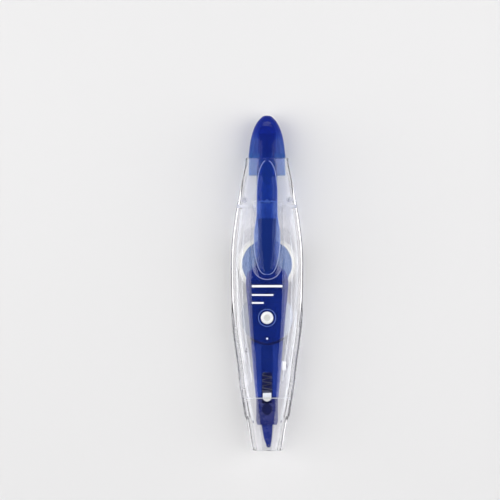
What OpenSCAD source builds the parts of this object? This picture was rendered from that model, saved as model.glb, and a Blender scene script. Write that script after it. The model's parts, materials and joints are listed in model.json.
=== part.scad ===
// Knock-type pen-shaped correction tape: a clear spindle case, a sprung carriage
// that carries the reels and the tape head, a push cap at the top and a pocket clip.
// Frame: +Y towards the push cap, +X to the right, +Z out of the clip side.
// The case lies on the flat of its rear shell at Z = 0.

/* [Case] */
// Half length of the whole object, from the mouth or the cap's crown to the middle
half_len = 59.4; // [59:0.1:60]
// Height of the parting plane between the two shells
part_z = 6.9; // [6.8:0.05:7]
// Wall of the shells along the body
wall = 1.3; // [1.2:0.05:1.35]
// Wall of the neck that the cap slides in
neck_wall = 0.9; // [0.8:0.05:0.95]
// Height of the ribbed side pads above the case
pad_h = 0.45; // [0.2:0.05:0.6]

/* [Knock] */
// Travel of the cap and the carriage
travel = 7; // [6:0.5:7]
// Radius of the push tube
tube_r = 3.55; // [3.4:0.05:3.6]
// Radius of the turning cam's body
rotor_r = 2.55; // [2.4:0.05:2.6]
// Inside radius of the lock sleeve
sleeve_r = 3.75; // [3.7:0.05:3.9]

/* [Reels] */
// Position of the supply axle along the case
supply_y = 6.66; // [6.66:0.01:6.66]
// Outer radius of the full tape roll
roll_r = 10.3; // [8:0.1:10.4]
// Radius of the supply flanges
supply_fl_r = 8.7; // [8:0.1:9]
// Radius of the take-up flanges
takeup_fl_r = 9.2; // [8.8:0.1:9.3]
// Radius of the used film on the take-up core
film_r = 4.5; // [3.8:0.1:5]
// Width of the tape
tape_w = 5; // [4.6:0.1:5]

/* [Gears] */
// Gear module
gm = 0.5; // [0.5:0.1:0.5]
// Teeth on the supply gear
supply_t = 38; // [38:1:38]
// Teeth on the idler
idler_t = 11; // [11:1:11]
// Teeth on the take-up pinion
takeup_t = 16; // [16:1:16]
// Pressure angle
press_a = 27; // [25:1:28]
// Tooth thinning for running play
thin = 0.07; // [0.05:0.01:0.1]

/* [Spring] */
// Mean radius of the return spring
spring_r = 1.85; // [1.7:0.05:1.9]
// Wire radius of the return spring
wire_r = 0.2; // [0.16:0.01:0.22]
// Number of turns
spring_turns = 8.5; // [8:0.5:9]

/* [Hidden] */
$fn = 48;

clear_c = [0.90, 0.93, 0.97, 0.45];
blue_c = [0.10, 0.18, 0.52];
dark_c = [0.06, 0.09, 0.30];
white_c = [0.95, 0.95, 0.96];

// gear train: three axles in line along Y
idler_y = supply_y - gm * (supply_t + idler_t) / 2;
takeup_y = idler_y - gm * (idler_t + takeup_t) / 2;
// layers up the Z axis
plate_z0 = 1.5; plate_z1 = 2.5;
gear_z0 = 2.7; gear_z1 = 4.2;
rfl_z0 = 4.4; rfl_z1 = 4.9;
tape_z0 = 7.5 - tape_w / 2;
ffl_z0 = 10.1; ffl_z1 = 10.7;
cov_z0 = 10.95; cov_z1 = 11.95;
// the tip roller
roll_x = 0.5; roll_y = -57.5; tip_r = 0.8;

// case stations along Y: half width, height in front of and depth behind the parting plane
CASE = [
  [-half_len, 5.45, 6.30, 5.50], [-56, 6.10, 6.35, 5.90], [-52, 6.75, 6.42, 6.40],
  [-48, 7.45, 6.52, 6.90], [-44, 8.15, 6.62, 7.25], [-40, 8.85, 6.72, 7.50],
  [-36, 9.42, 6.80, 7.70], [-31, 9.97, 6.86, 7.85], [-27, 10.45, 6.90, 7.90],
  [-22, 11.20, 6.90, 7.90], [-16, 12.00, 6.90, 7.90], [-10, 12.52, 6.90, 7.90],
  [-4, 12.78, 6.90, 7.90], [2, 12.90, 6.90, 7.90], [8, 12.90, 6.90, 7.90],
  [14, 12.58, 6.90, 7.90], [20, 11.88, 6.86, 7.85], [25, 11.15, 6.74, 7.70],
  [30, 10.20, 6.55, 7.40], [35, 9.25, 6.30, 6.95], [39, 8.42, 6.12, 6.60],
  [42, 7.88, 6.02, 6.45], [44.3, 7.66, 6.00, 6.40]];
// push cap stations: half width, height in front, depth behind
CAP = [
  [38.1, 6.58, 4.92, 5.32], [43.4, 6.58, 4.92, 5.32], [47.3, 6.30, 4.78, 5.12],
  [51.3, 5.68, 4.38, 4.62], [54.8, 4.62, 3.70, 3.84], [57.2, 3.35, 2.86, 2.92],
  [58.6, 2.05, 1.92, 1.94], [59.2, 1.15, 1.15, 1.15], [half_len, 0.35, 0.35, 0.35]];
case_rings = [-half_len, -57.5, -55, -52, -49.5, -48.2, -47.4, -45, -42, -39, -36, -33,
  -30, -27, -24, -21, -18, -15, -12, -8, -4, 0, 4, 8, 12, 16, 20, 24, 28, 32, 36, 39,
  42, 44.3];
cap_rings = [38.1, 40.8, 43.4, 45.4, 47.3, 49.4, 51.3, 53.2, 54.8, 56.1, 57.2, 58, 58.6,
  59, 59.25, half_len];

// smooth value of column c of table T at y, a cubic through the rows
function seg(T, y, i = 0) = i >= len(T) - 2 || y < T[i + 1][0] ? i : seg(T, y, i + 1);
function slope(T, i, c) = i <= 0 ? (T[1][c] - T[0][c]) / (T[1][0] - T[0][0])
  : i >= len(T) - 1 ? (T[i][c] - T[i - 1][c]) / (T[i][0] - T[i - 1][0])
  : (T[i + 1][c] - T[i - 1][c]) / (T[i + 1][0] - T[i - 1][0]);
function tab(T, y, c) = let(i = seg(T, y), h = T[i + 1][0] - T[i][0], t = (y - T[i][0]) / h)
  (1 - t) * (1 - t) * (1 + 2 * t) * T[i][c] + t * t * (3 - 2 * t) * T[i + 1][c]
  + h * t * (1 - t) * (1 - t) * slope(T, i, c) - h * t * t * (1 - t) * slope(T, i + 1, c);
function ramp(a, b, y) = let(t = min(1, max(0, (y - a) / (b - a)))) t * t * (3 - 2 * t);
function pad_at(y) = pad_h * ramp(-48.2, -47.4, y) * (1 - ramp(-15, -6, y));
function wall_at(y) = wall + (neck_wall - wall) * ramp(28, 37, y);
function in_w(y) = tab(CASE, y, 1) - wall_at(y);
function in_f(y) = tab(CASE, y, 2) - wall_at(y);
function in_r(y) = tab(CASE, y, 3) - wall_at(y);
// half width of the cavity at height z
function free_w(y, z) = let(dz = abs(z - part_z), h = z > part_z ? in_f(y) : in_r(y))
  in_w(y) * pow(max(0, 1 - pow(min(1, dz / h), 3.5)), 1 / 3.5);
function sg(v) = v < 0 ? -1 : 1;
// one point of a rounded section at angle a, exponent e, side pad p
function sec(w, hf, hr, a, e, p = 0) = let(c = cos(a), s = sin(a),
  x = sg(c) * pow(abs(c), 2 / e), z = sg(s) * pow(abs(s), 2 / e))
  [x * w + sg(c) * (abs(s) < 0.3 && abs(c) > 0.1 ? p : 0), part_z + (s >= 0 ? hf : hr) * z];

// closed solid through sections at the rings ys, m points round each
module loft(ys, m, fw, ff, fr, e, fp) {
  pts = [for (y = ys) for (j = [0 : m - 1]) let(q = sec(fw(y), ff(y), fr(y), 360 * j / m, e, fp(y))) [q[0], y, q[1]]];
  n = len(ys);
  polyhedron(points = pts, faces = concat(
    [[for (j = [0 : m - 1]) m - 1 - j]],
    [[for (j = [0 : m - 1]) (n - 1) * m + j]],
    [for (i = [0 : n - 2]) for (j = [0 : m - 1]) [i * m + j, (i + 1) * m + (j + 1) % m, (i + 1) * m + j]],
    [for (i = [0 : n - 2]) for (j = [0 : m - 1]) [i * m + j, i * m + (j + 1) % m, (i + 1) * m + (j + 1) % m]]),
    convexity = 6);
}
// half shell as one closed wall: a0 = 0 is the front, a0 = 180 the rear; zc and zi are the
// lowest heights of its outside and its inside
module half_shell(a0, zc, zi) {
  m = 13; k = 2 * m;
  pts = [for (y = case_rings) each concat(
    [for (j = [0 : m - 1]) let(q = sec(tab(CASE, y, 1), tab(CASE, y, 2), tab(CASE, y, 3), a0 + 15 * j, 3, pad_at(y)))
      [q[0], y, max(q[1], zc)]],
    [for (j = [m - 1 : -1 : 0]) let(q = sec(in_w(y), in_f(y), in_r(y), a0 + 15 * j, 3.5)) [q[0], y, max(q[1], zi)]])];
  n = len(case_rings);
  polyhedron(points = pts, faces = concat(
    [for (j = [0 : m - 2]) [j + 1, j, k - 1 - j, k - 2 - j]],
    [for (j = [0 : m - 2]) let(o = (n - 1) * k) [o + j, o + j + 1, o + k - 2 - j, o + k - 1 - j]],
    [for (i = [0 : n - 2]) for (j = [0 : k - 1]) [i * k + j, (i + 1) * k + (j + 1) % k, (i + 1) * k + j]],
    [for (i = [0 : n - 2]) for (j = [0 : k - 1]) [i * k + j, i * k + (j + 1) % k, (i + 1) * k + (j + 1) % k]]),
    convexity = 8);
}
// half plate across the case at y, thickness t, its rim buried in the wall by d
module bulkhead(y, t, d, a0) translate([0, y + t, 0]) rotate([90, 0, 0]) linear_extrude(t)
  polygon([for (j = [0 : 18]) sec(in_w(y) + d, in_f(y) + d, in_r(y) + d, a0 + 10 * j, 3.3)]);
module yrod(x, z, y0, y1, r) translate([x, y1, z]) rotate([90, 0, 0]) cylinder(h = y1 - y0, r = r);
module zrod(x, y, z0, z1, r) translate([x, y, z0]) cylinder(h = z1 - z0, r = r);
module box(x0, x1, y0, y1, z0, z1) translate([x0, y0, z0]) cube([x1 - x0, y1 - y0, z1 - z0]);

// tongues that locate the front shell in the rear shell, grown by g
module tongues(g) for (s = [-1, 1]) for (y = [2, -34])
  translate([s * (tab(CASE, y, 1) - 0.72) - 0.25 - g, y - 1 - g, part_z - 1 - g]) cube([0.5 + 2 * g, 2 + 2 * g, 1.6 + g]);
// U-shaped panel under the clip, sunk in the front shell
module clip_panel(z0) translate([0, 0, z0]) linear_extrude(3) union() {
  polygon([[-5.4, 27], [5.4, 27], [5.45, 18], [5.35, 9.5], [4.95, 6.4], [-4.95, 6.4], [-5.35, 9.5], [-5.45, 18]]);
  translate([0, 6.4]) circle(r = 4.95);
}

module front_shell() color(clear_c) union() {
  difference() {
    union() {
      half_shell(0, 0, 0);
      difference() { bulkhead(26.4, 1.2, 0.5, 0); yrod(0, part_z, 20, 30, 4.85); }
      // spring post: flat top, round bottom, hanging from the front wall
      translate([0, -40.8, 6.2]) linear_extrude(6.8) union() { circle(r = 1.5); translate([-1.5, 0]) square([3, 1.9]); }
      // bosses of the locating pins
      for (s = [-1, 1]) zrod(s * 7.9, 29.3, part_z, 11.55, 0.95);
    }
    clip_panel(13.3);
  }
  // clip ears
  difference() {
    for (s = [-1, 1]) translate([s * 2.45 - 0.45, 36.9, 12.4]) cube([0.9, 3, 2.1]);
    translate([-4, 38.4, 13.9]) rotate([0, 90, 0]) cylinder(h = 8, r = 0.65);
  }
  // locating pins and tongues
  for (s = [-1, 1]) zrod(s * 7.9, 29.3, part_z - 2, part_z + 0.5, 0.6);
  tongues(0);
}

function flat_w(y) = tab(CASE, y, 1) * pow(1 - pow(6.8 / tab(CASE, y, 3), 3), 1 / 3) - 0.6;
REST = [for (y = [-39, -36, -32, -28, -24, -20, -16, -12, -8, -4, 0, 4, 8, 12, 16, 20, 23]) [y, flat_w(y)]];
module rear_shell() color(clear_c) difference() {
  union() {
    half_shell(180, 0.1, 1.2);
    // the flat that the case lies on
    linear_extrude(0.6) polygon(both(REST));
    difference() { bulkhead(26.4, 1.2, 0.5, 180); yrod(0, part_z, 20, 30, 4.85); box(-20, 20, 20, 30, -5, 0.7); }
    // sockets for the locating pins
    for (s = [-1, 1]) zrod(s * 7.9, 29.3, 1.95, part_z, 1.25);
    // rails that the carriage slides on
    for (s = [-1, 1]) box(s * 4.6 - 0.3, s * 4.6 + 0.3, -33, 20, 0.8, 1.45);
  }
  for (s = [-1, 1]) zrod(s * 7.9, 29.3, part_z - 2.3, part_z + 1, 0.65);
  tongues(0.06);
}

// sleeve that guides the push tube, with four ribs for the cam to lock on
module lock_sleeve() color(clear_c) union() {
  difference() {
    union() { yrod(0, part_z, 21, 28.6, 4.8); yrod(0, part_z, 27.62, 28.6, 5.2); yrod(0, part_z, 25.4, 26.38, 5.2); }
    yrod(0, part_z, 20, 30, sleeve_r);
  }
  intersection() {
    for (k = [0 : 3]) translate([0, 0, part_z]) rotate([0, 45 + 90 * k, 0])
      translate([3.05, 24.7, -0.35]) cube([0.9, 3.9, 0.7]);
    yrod(0, part_z, 20, 30, sleeve_r + 0.2);
  }
}

// coil spring between the post and the carriage
spring_y0 = -38.85; spring_y1 = -22.65; spring_z = 8.5;
// the wire's path: one flat turn at each end, an even pitch between
function coil_y(u) = let(n = spring_turns, e = 0.9, a = spring_y0 + wire_r + 0.02, b = spring_y1 - wire_r - 0.02,
  g = 2 * wire_r + 0.03, t = u * n)
  t < e ? a + g * t / e : t > n - e ? b - g * (n - t) / e
  : a + g + (b - a - 2 * g) * (t - e) / (n - 2 * e);
module return_spring() color([0.78, 0.79, 0.82]) {
  m = 6; n = round(spring_turns * 12);
  pts = [for (i = [0 : n]) let(u = i / n, a = 360 * spring_turns * u) for (j = [0 : m - 1])
    let(b = 360 * j / m, r = spring_r + wire_r * cos(b))
    [r * cos(a), coil_y(u) + wire_r * sin(b), spring_z + r * sin(a)]];
  polyhedron(points = pts, faces = concat(
    [[for (j = [0 : m - 1]) j]], [[for (j = [0 : m - 1]) n * m + m - 1 - j]],
    [for (i = [0 : n - 1]) for (j = [0 : m - 1]) [i * m + j, (i + 1) * m + (j + 1) % m, i * m + (j + 1) % m]],
    [for (i = [0 : n - 1]) for (j = [0 : m - 1]) [i * m + j, (i + 1) * m + j, (i + 1) * m + (j + 1) % m]]), convexity = 10);
}

// leaf outline of the clip, half width at each station
LEAF = [[43.2, 0.9], [42.6, 1.5], [41, 2.35], [39.3, 2.95], [35.4, 3.55], [32.7, 3.75], [27, 3.8],
  [24, 3.8], [21.5, 4.1], [19, 4.5], [17, 4.7], [14, 4.7], [11.5, 4.5], [8, 3.95], [5.5, 3.2], [4.2, 2.5], [3.4, 1.7], [3, 0.8]];
CORE = [[22.6, 2.0], [20, 2.5], [15.2, 2.75], [11, 2.5], [8, 2.2], [5, 1.6], [3.6, 0.8]];
function both(L) = concat([for (p = L) [p[1], p[0]]], [for (i = [len(L) - 1 : -1 : 0]) [-L[i][1], L[i][0]]]);
module clip() color(blue_c) union() {
  translate([0, 0, 14.7]) linear_extrude(1.35) polygon(both(LEAF));
  translate([0, 0, 13.75]) linear_extrude(1.2) polygon(both(CORE));
  zrod(0, 5, 13.36, 14.8, 1.1);
  box(-1.9, 1.9, 37.8, 39, 13.9, 15);
  translate([-2.85, 38.4, 13.9]) rotate([0, 90, 0]) cylinder(h = 5.7, r = 0.6);
}

module knock_cap() color(blue_c) difference() {
  union() {
    difference() {
      loft(cap_rings, 24, function(y) tab(CAP, y, 1), function(y) tab(CAP, y, 2), function(y) tab(CAP, y, 3), 2.6, function(y) 0);
      loft(concat([37], [for (y = cap_rings) if (y < 58.3 && y > 39) y - 1.2]), 24,
        function(y) tab(CAP, max(38.1, y + 1.2), 1) - 1, function(y) tab(CAP, max(38.1, y + 1.2), 2) - 1,
        function(y) tab(CAP, max(38.1, y + 1.2), 3) - 1, 2.6, function(y) 0);
    }
    yrod(0, part_z, 46, 54.2, 3.2);
  }
  yrod(0, part_z, 44, 53, 2.72);
}

// tube that carries the push of the cap down to the cam, eight teeth on its lower rim
module push_tube() color(blue_c) difference() {
  union() {
    yrod(0, part_z, 29.6, 43, tube_r);
    yrod(0, part_z, 42.5, 52.8, 2.7);
    for (k = [0 : 7]) translate([0, 0, part_z]) rotate([0, 22.5 + 45 * k, 0])
      translate([2.2, 0, 0]) rotate([90, 0, 90]) linear_extrude(1.15) polygon([[29.7, 0.75], [29.7, -0.75], [28.95, 0]]);
  }
  yrod(0, part_z, 28, 50, 1.7);
  for (k = [0 : 3]) translate([0, 0, part_z]) rotate([0, 45 + 90 * k, 0])
    translate([2.85, 28, -0.5]) cube([2, 9.6, 1]);
}

module cam_rotor() color(blue_c) difference() {
  union() {
    yrod(0, part_z, 22.65, 28, rotor_r);
    for (k = [0 : 3]) translate([0, 0, part_z]) rotate([0, 90 * k, 0]) translate([2, 22.7, -0.45]) cube([1.45, 1.7, 0.9]);
    for (k = [0 : 7]) translate([0, 0, part_z]) rotate([0, 45 * k, 0])
      translate([1.6, 0, 0]) rotate([90, 0, 90]) linear_extrude(0.85) polygon([[27.9, 0.7], [27.9, -0.7], [28.65, 0]]);
  }
  yrod(0, part_z, 22, 26.2, 1.25);
}

// carriage plate: follows the cavity at both ends of the travel with play
plate_ys = [19.6, 18, 16, 12, 8, 4, 0, -4, -8, -12, -16, -20, -24, -28, -32, -36, -40.2];
function plate_w(y) = min(free_w(y, plate_z0), free_w(y - travel, plate_z0), 9.5) - 0.3 - 0.5 * ramp(-32, -40, y);
function plate_hw(y) = y > 19 ? 6.6 : y > 17 ? 8.2 : plate_w(y);
PLATE = [for (y = plate_ys) [y, plate_hw(y)]];
module carriage_frame() color(clear_c) union() {
  difference() {
    translate([0, 0, plate_z0]) linear_extrude(plate_z1 - plate_z0) polygon(both(PLATE));
    // windows that lighten the plate
    for (s = [-1, 1]) zrod(s * 5.2, 11.5, 1, 3, 1.5);
    zrod(0, -30, 1, 3, 1.6);
  }
  // low rims below the take-up reel
  for (s = [-1, 1]) translate([0, 0, plate_z1 - 0.01]) linear_extrude(1.8)
    polygon(concat([for (y = [-23, -28, -32, -36, -40]) [s * plate_w(y), y]],
      [for (y = [-40, -36, -32, -28, -23]) [s * (plate_w(y) - 0.6), y]]));
  // neck and the pivot of the cam
  box(-3.1, 3.1, 17.3, 19.6, plate_z0, cov_z0);
  yrod(0, part_z, 19, 22.6, 3.1);
  yrod(0, part_z, 22.5, 25.8, 1.2);
  // axles
  zrod(0, supply_y, plate_z1 - 0.5, cov_z0, 2);
  zrod(0, idler_y, plate_z1 - 0.5, 4.3, 0.9);
  zrod(0, takeup_y, plate_z1 - 0.5, 9.6, 1.2);
  // peg that holds the cover, and the spring seat
  zrod(0, supply_y, cov_z0 - 1, cov_z0 + 0.9, 1.2);
  box(-2.3, 2.3, -22.6, -21.75, plate_z0, cov_z0);
  // tape guide posts
  for (p = [[-7.1, -24], [6.5, -29.5]]) {
    zrod(p[0], p[1], plate_z1, 10.4, 0.7);
    translate([p[0], p[1], plate_z1 - 0.5]) cylinder(h = 0.55, r1 = 0.3, r2 = 0.66);
  }
  // tail that the head block is seated on
  box(-2.2, 2.2, -43, -38, 2.2, 3.6);
  box(-2.2, 2.2, -49.4, -42.5, 2.75, 3.6);
}

// spine of the carriage, over the reels
COVER = [[19.6, 2.8], [18.6, 3.1], [12, 3.1], [8.5, 3.2], [6.6, 3.8], [5, 5.2], [3.6, 6.6], [2.4, 7.2], [0, 7.4],
  [-2.6, 7.3],
  [-7.9, 6.8], [-12.2, 6.4], [-16.8, 6.0], [-22.1, 5.55], [-27.4, 5.05], [-32.7, 4.65], [-38.8, 4.1], [-40.5, 3.95]];
module carriage_cover() color(blue_c) difference() {
  union() {
    translate([0, 0, cov_z0 + 0.02]) linear_extrude(cov_z1 - cov_z0 - 0.22) polygon(both(COVER));
    zrod(0, takeup_y, cov_z0 + 0.02, cov_z1 + 0.2, 3.2);
    zrod(0, -19.72, cov_z0 + 0.02, cov_z1 + 0.05, 1.8);
  }
  zrod(0, takeup_y, 10, 14, 2.3);
  zrod(0, -19.72, 11.5, 14, 0.8);
  zrod(0, supply_y, 10, 14, 1.23);
  // slot for the spring post
  translate([0, 0, 10]) linear_extrude(4) union() {
    translate([-1.75, -42.6]) square([3.5, 10.9]);
  }
}

module head_block() color(dark_c) difference() {
  union() {
    translate([0, 0, 10.2]) linear_extrude(cov_z0 - 10.2) polygon([[-3.65, -40.5], [3.65, -40.5], [3.65, -47.5], [3.2, -50.2], [-3.2, -50.2], [-3.65, -47.5]]);
    translate([0, 0, cov_z0 - 0.05]) linear_extrude(0.3) polygon([[-3.5, -40.7], [3.5, -40.7], [3.5, -47.3], [3.0, -50], [-3.0, -50], [-3.5, -47.3]]);
    translate([0, 0, 3.62]) linear_extrude(1.18) polygon([[-3.65, -40.5], [3.65, -40.5], [3.65, -47.5], [3.3, -50.2], [-3.3, -50.2], [-3.65, -47.5]]);
    box(-1.55, 1.55, -50.2, -42.7, 4.7, 10.3);
  }
  translate([-1.75, -42.6, 6]) cube([3.5, 5, 6]);
  // socket of the tape head
  box(-1.03, 1.03, -51, -47.4, 5.97, 9.03);
}

// wedge that brings the tape to the paper
module tape_head() color(blue_c) difference() {
  union() {
    translate([0, 0, 4.9]) linear_extrude(5.2) polygon([[-1.55, -50.25], [1.55, -50.25], [1.35, -54], [1.2, -56.4], [0.75, -56.45], [-0.2, -56.45], [-0.45, -55.9], [-1.15, -53]]);
    box(-1, 1, -50.4, -47.5, 6, 9);
    for (z = [4.15, 10.06]) translate([0, 0, z]) linear_extrude(0.79) union() {
      polygon([[-1.9, -50.25], [1.9, -50.25], [1.6, -55], [1.2, -57.5], [-0.2, -57.5], [-1.1, -55]]);
      translate([roll_x, roll_y]) circle(r = 0.7);
    }
  }
  zrod(roll_x, roll_y, 3, 12, 0.31);
  zrod(roll_x, roll_y, 4.94, 10.06, 1.0);
}
module roller_pin() color([0.75, 0.76, 0.78]) zrod(roll_x, roll_y, 4.2, 10.8, 0.3);
module tip_roller() color(white_c) difference() {
  zrod(roll_x, roll_y, 5.1, 9.9, tip_r);
  zrod(roll_x, roll_y, 4, 11, 0.35);
}

// strip of thickness t along the points P, mitred at each point, as wide as the tape
function unit(v) = v / norm(v);
function side_at(P, i) = let(n = len(P), a = i > 0 ? unit(P[i] - P[i - 1]) : unit(P[1] - P[0]),
  b = i < n - 1 ? unit(P[i + 1] - P[i]) : a, p = [-a[1], a[0]], q = [-b[1], b[0]]) (p + q) / (1 + p * q);
module strip(P, t, z0, z1) translate([0, 0, z0]) linear_extrude(z1 - z0) polygon(concat(
  [for (i = [0 : len(P) - 1]) P[i] + side_at(P, i) * t / 2],
  [for (i = [len(P) - 1 : -1 : 0]) P[i] - side_at(P, i) * t / 2]));
arc_r = tip_r + 0.1;
FEED = concat([[-roll_r - 0.12, supply_y - 0.3], [-7.9, -24], [-1.95, -43.2], [-1.95, -50]],
  [for (a = [172, 195, 218, 241, 264]) [roll_x + arc_r * cos(a), roll_y + arc_r * sin(a)]]);
BACK = concat([for (a = [276, 299, 322, 345, 2]) [roll_x + arc_r * cos(a), roll_y + arc_r * sin(a)]],
  [[2.05, -50.2], [2.05, -43.2], [7.3, -29.5], [film_r + 0.1, takeup_y + 0.3]]);
module tape_feed() color(white_c) strip(FEED, 0.1, tape_z0, tape_z0 + tape_w);
module film_return() color(clear_c) strip(BACK, 0.08, tape_z0, tape_z0 + tape_w);

// involute tooth flank and gear outline; a tooth is centred on angle a0
function inv(r, rb) = let(a = acos(min(1, rb / r))) (tan(a) - a * PI / 180) * 180 / PI;
function half_tooth(r, n) = let(rp = gm * n / 2, rb = rp * cos(press_a))
  (PI * gm / 2 - thin) / 2 / rp * 180 / PI + inv(rp, rb) - inv(max(r, rb), rb);
module gear2d(n, a0) {
  rp = gm * n / 2; rt = rp + 0.9 * gm; rr = rp - 1.2 * gm;
  rs = [for (k = [0 : 5]) max(rr + 0.05, rp * cos(press_a) < rr ? rr : rr) + (rt - rr - 0.05) * k / 5];
  p = 360 / n;
  polygon([for (i = [0 : n - 1]) each concat(
    [for (k = [0 : 5]) let(a = a0 + i * p - half_tooth(rs[k], n)) rs[k] * [cos(a), sin(a)]],
    [for (k = [5 : -1 : 0]) let(a = a0 + i * p + half_tooth(rs[k], n)) rs[k] * [cos(a), sin(a)]],
    [let(a = a0 + (i + 0.5) * p) (rr) * [cos(a), sin(a)]])]);
}
module gear(n, a0) linear_extrude(gear_z1 - gear_z0) gear2d(n, a0);

module supply_gear() color(blue_c) difference() {
  union() {
    translate([0, supply_y, gear_z0]) gear(supply_t, 270);
    zrod(0, supply_y, gear_z1 - 0.2, 9.8, 3);
  }
  zrod(0, supply_y, 1, 12, 2.05);
  for (k = [0 : 4]) translate([0, supply_y, 0]) rotate(72 * k + 18) zrod(6.3, 0, 2, 4.8, 1.5);
}
module clutch_ring() color([0.25, 0.25, 0.27]) translate([0, supply_y, 7.5]) rotate_extrude()
  translate([3, -0.45]) square([0.93, 0.9]);
module supply_core() color([0.45, 0.58, 0.85]) difference() {
  union() {
    zrod(0, supply_y, rfl_z0, rfl_z1, supply_fl_r);
    zrod(0, supply_y, rfl_z0, ffl_z0, 4.8);
  }
  zrod(0, supply_y, 4, 12, 3.05);
  zrod(0, supply_y, 5.1, 12, 4);
}
module supply_flange() color([0.45, 0.58, 0.85]) difference() {
  union() {
    zrod(0, supply_y, ffl_z0, ffl_z1, supply_fl_r);
    // toothed rim
    translate([0, supply_y, ffl_z0]) linear_extrude(0.5) polygon([for (i = [0 : 53]) each
      [for (p = [[0, 9.4], [0.2, 9.7], [0.6, 9.7], [0.8, 9.4]]) p[1] * [cos((i + p[0]) * 360 / 54), sin((i + p[0]) * 360 / 54)]]]);
  }
  zrod(0, supply_y, 9, 12, 3.2);
}
module tape_roll() color(white_c) difference() {
  zrod(0, supply_y, tape_z0, tape_z0 + tape_w, roll_r);
  zrod(0, supply_y, 4, 12, 4.8);
}
module idler_gear() color([0.8, 0.85, 0.9]) difference() {
  translate([0, idler_y, gear_z0]) gear(idler_t, 90 + 180 / idler_t);
  zrod(0, idler_y, 1, 6, 0.95);
}
module takeup_reel() color([0.8, 0.85, 0.9]) difference() {
  union() {
    translate([0, takeup_y, gear_z0]) gear(takeup_t, 90 + 180 / takeup_t);
    zrod(0, takeup_y, gear_z1 - 0.2, ffl_z0, 3.3);
    zrod(0, takeup_y, rfl_z0, rfl_z1, takeup_fl_r);
  }
  zrod(0, takeup_y, 1, 9.7, 1.25);
}
module takeup_flange() color([0.45, 0.58, 0.85]) difference() {
  zrod(0, takeup_y, ffl_z0, ffl_z1, takeup_fl_r);
  zrod(0, takeup_y, 9, 12, 2.15);
}
module used_film_roll() color([0.85, 0.88, 0.92]) difference() {
  zrod(0, takeup_y, tape_z0, tape_z0 + tape_w, film_r);
  zrod(0, takeup_y, 4, 12, 3.3);
}
module hub_cap() color(white_c) zrod(0, takeup_y, ffl_z0, 12.25, 2.14);

front_shell();
rear_shell();
lock_sleeve();
return_spring();
clip();
knock_cap();
push_tube();
cam_rotor();
carriage_frame();
carriage_cover();
head_block();
tape_head();
roller_pin();
tip_roller();
tape_feed();
film_return();
supply_gear();
clutch_ring();
supply_core();
supply_flange();
tape_roll();
idler_gear();
takeup_reel();
takeup_flange();
used_film_roll();
hub_cap();
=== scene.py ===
import bpy, bmesh, json, math
import numpy as np
from mathutils import Vector, Matrix


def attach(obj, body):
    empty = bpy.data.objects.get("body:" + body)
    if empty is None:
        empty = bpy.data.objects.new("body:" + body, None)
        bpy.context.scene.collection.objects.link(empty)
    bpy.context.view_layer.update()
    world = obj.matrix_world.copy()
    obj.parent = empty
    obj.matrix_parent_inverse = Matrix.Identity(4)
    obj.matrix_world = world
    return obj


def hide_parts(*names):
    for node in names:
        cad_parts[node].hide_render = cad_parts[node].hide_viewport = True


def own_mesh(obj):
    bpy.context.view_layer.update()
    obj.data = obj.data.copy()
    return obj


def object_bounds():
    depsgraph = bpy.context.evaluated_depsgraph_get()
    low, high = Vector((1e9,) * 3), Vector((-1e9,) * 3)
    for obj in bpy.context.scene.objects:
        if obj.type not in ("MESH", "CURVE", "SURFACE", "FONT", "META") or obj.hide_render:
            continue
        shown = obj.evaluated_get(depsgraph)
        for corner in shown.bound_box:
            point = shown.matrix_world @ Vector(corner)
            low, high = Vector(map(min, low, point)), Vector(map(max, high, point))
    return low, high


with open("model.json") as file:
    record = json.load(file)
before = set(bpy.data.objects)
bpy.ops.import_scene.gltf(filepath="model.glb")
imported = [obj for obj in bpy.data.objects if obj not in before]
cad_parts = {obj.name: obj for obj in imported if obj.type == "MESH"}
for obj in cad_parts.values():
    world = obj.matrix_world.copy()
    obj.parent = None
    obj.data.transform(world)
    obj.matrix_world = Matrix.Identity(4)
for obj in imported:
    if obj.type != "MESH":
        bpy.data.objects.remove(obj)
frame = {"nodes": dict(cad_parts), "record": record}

CAD_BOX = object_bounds()
REC = frame["record"]
N = frame["nodes"]
MM = 0.001
sc = bpy.context.scene


# ---------------------------------------------------------------- the case's shape, in millimetres
ZP = 6.9
HALF = (CAD_BOX[1][1] - CAD_BOX[0][1]) / 2 / MM
CASE = [
    (-HALF, 5.45, 6.30, 5.50), (-56, 6.10, 6.35, 5.90), (-52, 6.75, 6.42, 6.40),
    (-48, 7.45, 6.52, 6.90), (-44, 8.15, 6.62, 7.25), (-40, 8.85, 6.72, 7.50),
    (-36, 9.42, 6.80, 7.70), (-31, 9.97, 6.86, 7.85), (-27, 10.45, 6.90, 7.90),
    (-22, 11.20, 6.90, 7.90), (-16, 12.00, 6.90, 7.90), (-10, 12.52, 6.90, 7.90),
    (-4, 12.78, 6.90, 7.90), (2, 12.90, 6.90, 7.90), (8, 12.90, 6.90, 7.90),
    (14, 12.58, 6.90, 7.90), (20, 11.88, 6.86, 7.85), (25, 11.15, 6.74, 7.70),
    (30, 10.20, 6.55, 7.40), (35, 9.25, 6.30, 6.95), (39, 8.42, 6.12, 6.60),
    (42, 7.88, 6.02, 6.45), (44.3, 7.66, 6.00, 6.40)]
CAP = [
    (38.1, 6.58, 4.92, 5.32), (43.4, 6.58, 4.92, 5.32), (47.3, 6.30, 4.78, 5.12),
    (51.3, 5.68, 4.38, 4.62), (54.8, 4.62, 3.70, 3.84), (57.2, 3.35, 2.86, 2.92),
    (58.6, 2.05, 1.92, 1.94), (59.2, 1.15, 1.15, 1.15), (HALF, 0.02, 0.02, 0.02)]


def slope(T, i, c):
    if i <= 0:
        return (T[1][c] - T[0][c]) / (T[1][0] - T[0][0])
    if i >= len(T) - 1:
        return (T[i][c] - T[i - 1][c]) / (T[i][0] - T[i - 1][0])
    return (T[i + 1][c] - T[i - 1][c]) / (T[i + 1][0] - T[i - 1][0])


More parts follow.
